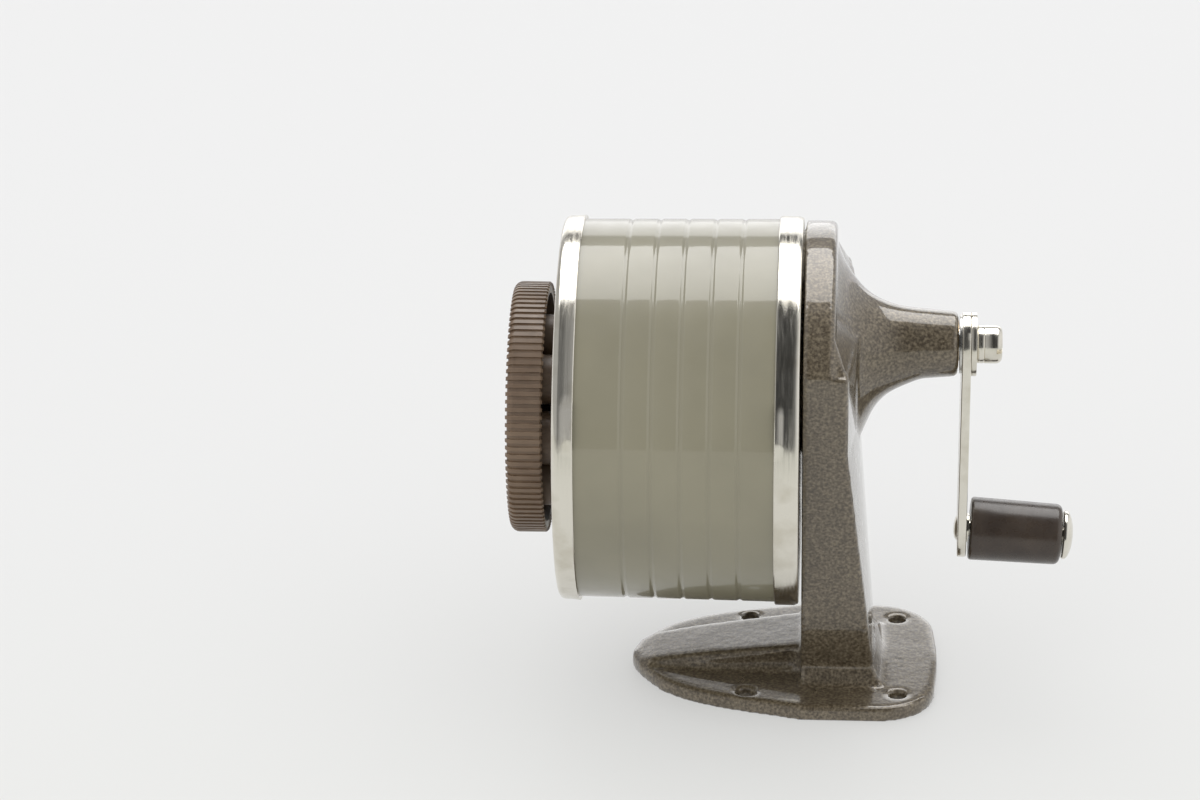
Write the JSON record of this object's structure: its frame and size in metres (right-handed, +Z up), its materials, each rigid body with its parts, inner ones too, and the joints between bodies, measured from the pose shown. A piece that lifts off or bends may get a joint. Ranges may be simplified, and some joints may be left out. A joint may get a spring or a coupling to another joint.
{
  "type": "pencil sharpener",
  "caption": "Screw-down manual pencil sharpener: a side crank turns a planetary cutter head inside a ribbed shavings drum with a pencil-size dial.",
  "frame": {"origin": "middle of the four base holes, on the underside of the base", "axes": "+Z up, +X along the cutter axis from the pencil dial to the crank, +Y across"},
  "size_m": [0.1304, 0.0904, 0.1121],
  "materials": {
    "hammertone_paint": "glossy hammered brown-grey enamel on a casting",
    "drum_paint": "satin khaki enamel on rolled sheet",
    "nickel_plate": "worn bright nickel plate",
    "plated_steel": "zinc plated steel",
    "hardened_steel": "ground hardened steel",
    "cast_frame": "raw die-cast metal",
    "bronze": "sintered bronze",
    "dial_plastic": "moulded brown plastic",
    "knob_plastic": "polished dark brown plastic"
  },
  "bodies": {
    "stand": {"stand_casting": "hammertone_paint", "shaft_bush": "bronze", "ring_gear": "hardened_steel", "ring_gear_screws": "plated_steel", "receptacle_clips": "plated_steel"},
    "receptacle": {"drum_tube": "drum_paint", "front_cap": "nickel_plate", "rear_ring": "nickel_plate", "dial_rivet": "plated_steel", "dial_washer": "plated_steel", "dial_spring": "plated_steel"},
    "dial": {"pencil_dial": "dial_plastic"},
    "crank": {"crank_shaft": "hardened_steel", "cutter_frame": "cast_frame", "cutter_pins": "hardened_steel", "hub_washer": "plated_steel", "arm_washer": "plated_steel", "crank_arm": "nickel_plate", "lock_washer": "plated_steel", "crank_screw": "nickel_plate", "knob_rivet": "nickel_plate"},
    "cutter_a": {"cutter_a": "hardened_steel", "pinion_a": "hardened_steel"},
    "cutter_b": {"cutter_b": "hardened_steel", "pinion_b": "hardened_steel"},
    "knob": {"knob": "knob_plastic"}
  },
  "joints": [
    {"name": "receptacle_slide", "type": "slide", "parent": "stand", "child": "receptacle", "axis": [-1, 0, 0], "range_m": [0, 0.06]},
    {"name": "dial_turn", "type": "hinge", "parent": "receptacle", "child": "dial", "pos_m": [-0.068, 0, 0.0669], "axis": [1, 0, 0], "continuous": true},
    {"name": "crank_turn", "type": "hinge", "parent": "stand", "child": "crank", "pos_m": [0.02, 0, 0.0844], "axis": [1, 0, 0], "continuous": true},
    {"name": "cutter_a_spin", "type": "hinge", "parent": "crank", "child": "cutter_a", "pos_m": [0.02702, 0, 0.0844], "axis": [0.9816, -0.1908, 0], "continuous": true},
    {"name": "cutter_b_spin", "type": "hinge", "parent": "crank", "child": "cutter_b", "pos_m": [0.02702, 0, 0.0844], "axis": [0.9816, 0.1908, 0], "continuous": true},
    {"name": "knob_spin", "type": "hinge", "parent": "crank", "child": "knob", "pos_m": [0.0332, 0, 0.0375], "axis": [0.9981, 0, -0.061], "continuous": true}
  ],
  "couplings": [
    {"joint": "cutter_a_spin", "follows": "crank_turn", "ratio": -2.5},
    {"joint": "cutter_b_spin", "follows": "crank_turn", "ratio": -2.5}
  ]
}
